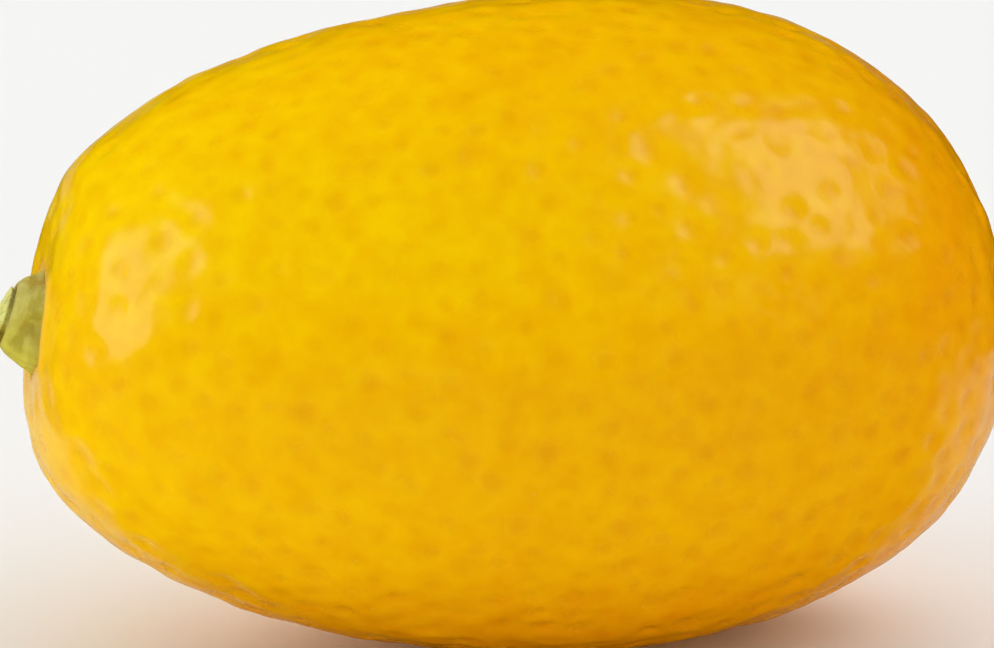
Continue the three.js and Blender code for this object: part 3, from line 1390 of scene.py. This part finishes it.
@dataclass
class Studio:
    """The camera, the pale floor and the soft lights.

    The floor looks plain and pale. What it gives to the fruit is set apart: its bounce and glow are what the
    peel takes up, and the shares in gloss are how strongly the peel mirrors it behind the fruit, near by and
    far away. The spans are where each share comes in or fades out, and the skews turn the near one's edges.
    """

    azimuth: float = -12
    elevation: float = 15
    lens: float = 300
    distance: float = 319.98 * MM
    aim_right: float = -0.768 * MM
    aim_up: float = 0.029 * MM
    floor_size: float = 6.0
    floor_level: float = -0.02 * MM
    floor_color: Color = (0.82, 0.82, 0.81, 1)
    floor_bounce: Color = (0.97, 0.97, 0.13, 1)
    near_in_gloss: float = 0.6
    near_from: Span = (-4 * MM, 1 * MM)
    near_beside: Span = (-34 * MM, -28 * MM)
    near_skews: tuple[float, float] = (0.12, 0.2)
    near_to: Span = (52 * MM, 75 * MM)
    far_in_gloss: float = 0.3
    far_from: Span = (60 * MM, 150 * MM)
    far_narrowing: float = 1.5
    floor_glow: Color = (0.09, 0.09, 0.012, 1)
    room_radiance: float = 0.685
    room_spread: float = 180
    softboxes: tuple[Softbox, ...] = (
        Softbox("key_pane", 69, 47, 0.5, 0.34, 0.22, 1.85, "RECTANGLE", 50),
        Softbox("narrow_pane", 95.5, 32.5, 0.5, 0.19, 0.05, 1.6, "RECTANGLE", 48),
        Softbox("sill_glow", 32, 19, 0.5, 0.26, 0.03, 0.5, "RECTANGLE", -45),
        Softbox("window_box", -88, 24, 0.5, 0.3, 0.38, 1.75),
        Softbox("low_fill", -36, -4, 0.7, 1.0, 0.3, 1.05, shines=False),
        Softbox("side_fill", -80, 8, 0.7, 0.7, 0.4, 0.35, shines=False),
        Softbox("back_fill", 140, 58, 0.6, 0.6, 0.5, 0.95, shines=False),
        Softbox("left_fill", -150, 35, 0.6, 0.7, 0.5, 0.8, shines=False),
    )

    def build(self, middle: Vector) -> None:
        """Sets up the studio.

        Args:
            middle: the fruit's middle, which the camera and the lights are aimed at.
        """
        self._aim_camera(middle)
        self._lay_floor()
        self._fill_room()
        for softbox in self.softboxes:
            softbox.build(middle)
        bpy.context.scene.view_settings.view_transform = "Standard"

    def _aim_camera(self, middle: Vector) -> None:
        """Makes the camera.

        Args:
            middle: the fruit's middle.
        """
        data = bpy.data.cameras.new("camera")
        data.lens = self.lens
        data.sensor_width = 36
        data.clip_start = 0.01
        data.clip_end = 20
        camera = bpy.data.objects.new("camera", data)
        bpy.context.scene.collection.objects.link(camera)
        back = direction(self.azimuth, self.elevation)
        turn = back.to_track_quat("Z", "Y")
        aim = middle + turn @ Vector((self.aim_right, self.aim_up, 0))
        camera.location = aim + back * self.distance
        camera.rotation_euler = turn.to_euler()
        bpy.context.scene.camera = camera

    def _lay_floor(self) -> None:
        """Makes the plain pale floor."""
        bpy.ops.object.select_all(action="DESELECT")
        bpy.ops.mesh.primitive_plane_add(size=self.floor_size, location=(0, 0, self.floor_level))
        floor = bpy.context.object
        floor.name = "floor"
        material, sheet, shader, place = start_material("plain_floor")
        light = sheet.add("ShaderNodeLightPath")
        dimmed = sheet.blend(1.0, self.floor_color, self._mirrored_share(sheet, place), "MULTIPLY")
        bounced = sheet.blend(light.outputs["Is Glossy Ray"], self.floor_bounce, dimmed)
        seen = sheet.blend(light.outputs["Is Camera Ray"], bounced, self.floor_color)
        glow = sheet.blend(light.outputs["Is Diffuse Ray"], (0, 0, 0, 1), self.floor_glow)
        sheet.dress(shader, Base_Color=seen, Emission_Color=glow)
        for name, value in {"Emission Strength": 1.0, "Roughness": 0.9, "Specular IOR Level": 0.1}.items():
            shader.inputs[name].default_value = value
        floor.data.materials.append(material)

    def _mirrored_share(self, sheet: NodeSheet, place: Socket) -> Socket:
        """Works out how strongly each place on the floor is mirrored.

        Args:
            sheet: the floor material's sheet.
            place: the object coordinates.

        Returns:
            The share's socket.
        """
        axes = sheet.add("ShaderNodeSeparateXYZ", from_Vector=place)
        x, y = axes.outputs["X"], axes.outputs["Y"]
        behind = sheet.ranged(sheet.total(y, sheet.times(x, self.near_skews[0])), *self.near_from)
        beside = sheet.ranged(sheet.total(x, sheet.times(y, self.near_skews[1])), *self.near_beside)
        away = sheet.add("ShaderNodeVectorMath", operation="LENGTH", from_0=place).outputs["Value"]
        near = sheet.ranged(away, *self.near_to, self.near_in_gloss, 0.0)
        near = sheet.times(sheet.times(behind, beside), near)
        aside = sheet.times(sheet.math("ABSOLUTE", x), self.far_narrowing)
        far = sheet.ranged(sheet.math("SUBTRACT", y, aside), *self.far_from, 0.0, self.far_in_gloss)
        return sheet.math("MAXIMUM", near, far)

    def _fill_room(self) -> None:
        """Fills the room with even light from above, which the waxy peel doesn't mirror."""
        data = bpy.data.lights.new("room_light", "SUN")
        data.angle = math.radians(self.room_spread)
        data.energy = math.pi * self.room_radiance
        data.cycles.use_multiple_importance_sampling = False
        light = bpy.data.objects.new("room_light", data)
        light.visible_glossy = False
        bpy.context.scene.collection.objects.link(light)
        world = bpy.data.worlds.new("studio")
        world.use_nodes = True
        background = world.node_tree.nodes["Background"]
        background.inputs["Color"].default_value = self.floor_color
        bpy.context.scene.world = world
        world.cycles_visibility.diffuse = False
        world.cycles_visibility.glossy = False


def main() -> None:
    """Builds the studio and then the kumquat, piece by piece."""
    logging.basicConfig(level=logging.INFO, format="%(name)s: %(message)s")
    form = FruitForm()
    place = form.place_in(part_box("fruit"))
    Studio().build(place)
    effects = Effects()
    button = ButtonForm(form, place)
    report(Fruit(form, place, button).build(effects))
    report(Calyx(button).build(effects))
    report(Stalk(button).build(effects))


if __name__ == "__main__":
    main()
